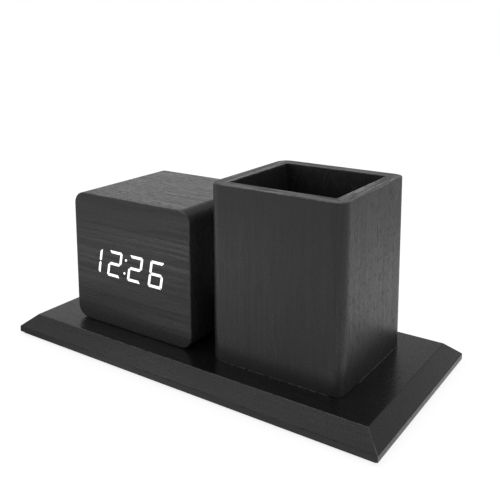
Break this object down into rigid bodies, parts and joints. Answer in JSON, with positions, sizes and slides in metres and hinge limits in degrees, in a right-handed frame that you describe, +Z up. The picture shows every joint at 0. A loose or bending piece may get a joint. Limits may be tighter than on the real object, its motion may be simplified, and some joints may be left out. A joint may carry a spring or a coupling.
{
  "type": "desk clock with pen cup",
  "caption": "Desk organiser with a digital clock in a block-shaped case and an open square pen cup, side by side on a bevelled base board.",
  "frame": {"origin": "middle of the footprint, at the underside of the foot pads", "axes": "+X to the right along the base board's length, from the clock to the cup; +Y to the back; +Z up"},
  "size_m": [0.23, 0.1114, 0.1042],
  "materials": {
    "wood_film": "satin black-stained wood-grain film over board",
    "face_film": "satin black-stained wood-grain film, thin enough for the display to shine through",
    "raw_board": "raw fibreboard",
    "lit_plastic": "white diffusing plastic, lit",
    "black_plastic": "fine moulded texture",
    "circuit_board": "green solder mask",
    "steel": "nickel-plated",
    "cell_wrap": "printed-free shrink wrap",
    "foot_rubber": "matt foam rubber",
    "ribbon": "grey flat cable",
    "red_wire": "insulated lead",
    "black_wire": "insulated lead"
  },
  "bodies": {
    "root": {"back_cover": "black_plastic", "back_screw_1": "steel", "back_screw_2": "steel", "back_screw_3": "steel", "back_screw_4": "steel", "base_board": "wood_film", "battery_1": "cell_wrap", "battery_2": "cell_wrap", "battery_3": "cell_wrap", "battery_contact_1": "steel", "battery_contact_2": "steel", "battery_contact_3": "steel", "battery_contact_4": "steel", "battery_lead_black": "black_wire", "battery_lead_red": "red_wire", "battery_spring_1": "steel", "battery_spring_2": "steel", "battery_spring_3": "steel", "buzzer": "black_plastic", "case_bottom": "wood_film", "case_left": "wood_film", "case_right": "wood_film", "case_top": "wood_film", "clock_screw_1": "steel", "clock_screw_2": "steel", "coin_cell": "steel", "corner_block_1": "raw_board", "corner_block_2": "raw_board", "corner_block_3": "raw_board", "corner_block_4": "raw_board", "cup_floor": "wood_film", "cup_screw_1": "steel", "cup_screw_2": "steel", "cup_wall_back": "wood_film", "cup_wall_front": "wood_film", "cup_wall_left": "wood_film", "cup_wall_right": "wood_film", "display_board": "circuit_board", "foot_pad_1": "foot_rubber", "foot_pad_2": "foot_rubber", "foot_pad_3": "foot_rubber", "foot_pad_4": "foot_rubber", "front_board": "raw_board", "front_film": "face_film", "light_guide_colon": "lit_plastic", "light_guide_hour_tens": "lit_plastic", "light_guide_hour_units": "lit_plastic", "light_guide_minute_tens": "lit_plastic", "light_guide_minute_units": "lit_plastic", "main_board": "circuit_board", "power_socket": "steel", "ribbon_cable": "ribbon", "switch_down": "black_plastic", "switch_set": "black_plastic", "switch_up": "black_plastic"},
    "battery_door": {"battery_door": "black_plastic"},
    "button_set": {"button_set": "black_plastic"},
    "button_up": {"button_up": "black_plastic"},
    "button_down": {"button_down": "black_plastic"}
  },
  "joints": [
    {"name": "button_set_press", "type": "slide", "parent": "root", "child": "button_set", "axis": [0, -1, 0], "range_m": [0, 0.0007], "stiffness_N_per_m": 400},
    {"name": "button_up_press", "type": "slide", "parent": "root", "child": "button_up", "axis": [0, -1, 0], "range_m": [0, 0.0007], "stiffness_N_per_m": 400},
    {"name": "button_down_press", "type": "slide", "parent": "root", "child": "button_down", "axis": [0, -1, 0], "range_m": [0, 0.0007], "stiffness_N_per_m": 400},
    {"name": "battery_door_hinge", "type": "hinge", "parent": "root", "child": "battery_door", "pos_m": [-0.0433, 0.0333, 0.01962], "axis": [-1, 0, 0], "range_deg": [0, 80]}
  ]
}
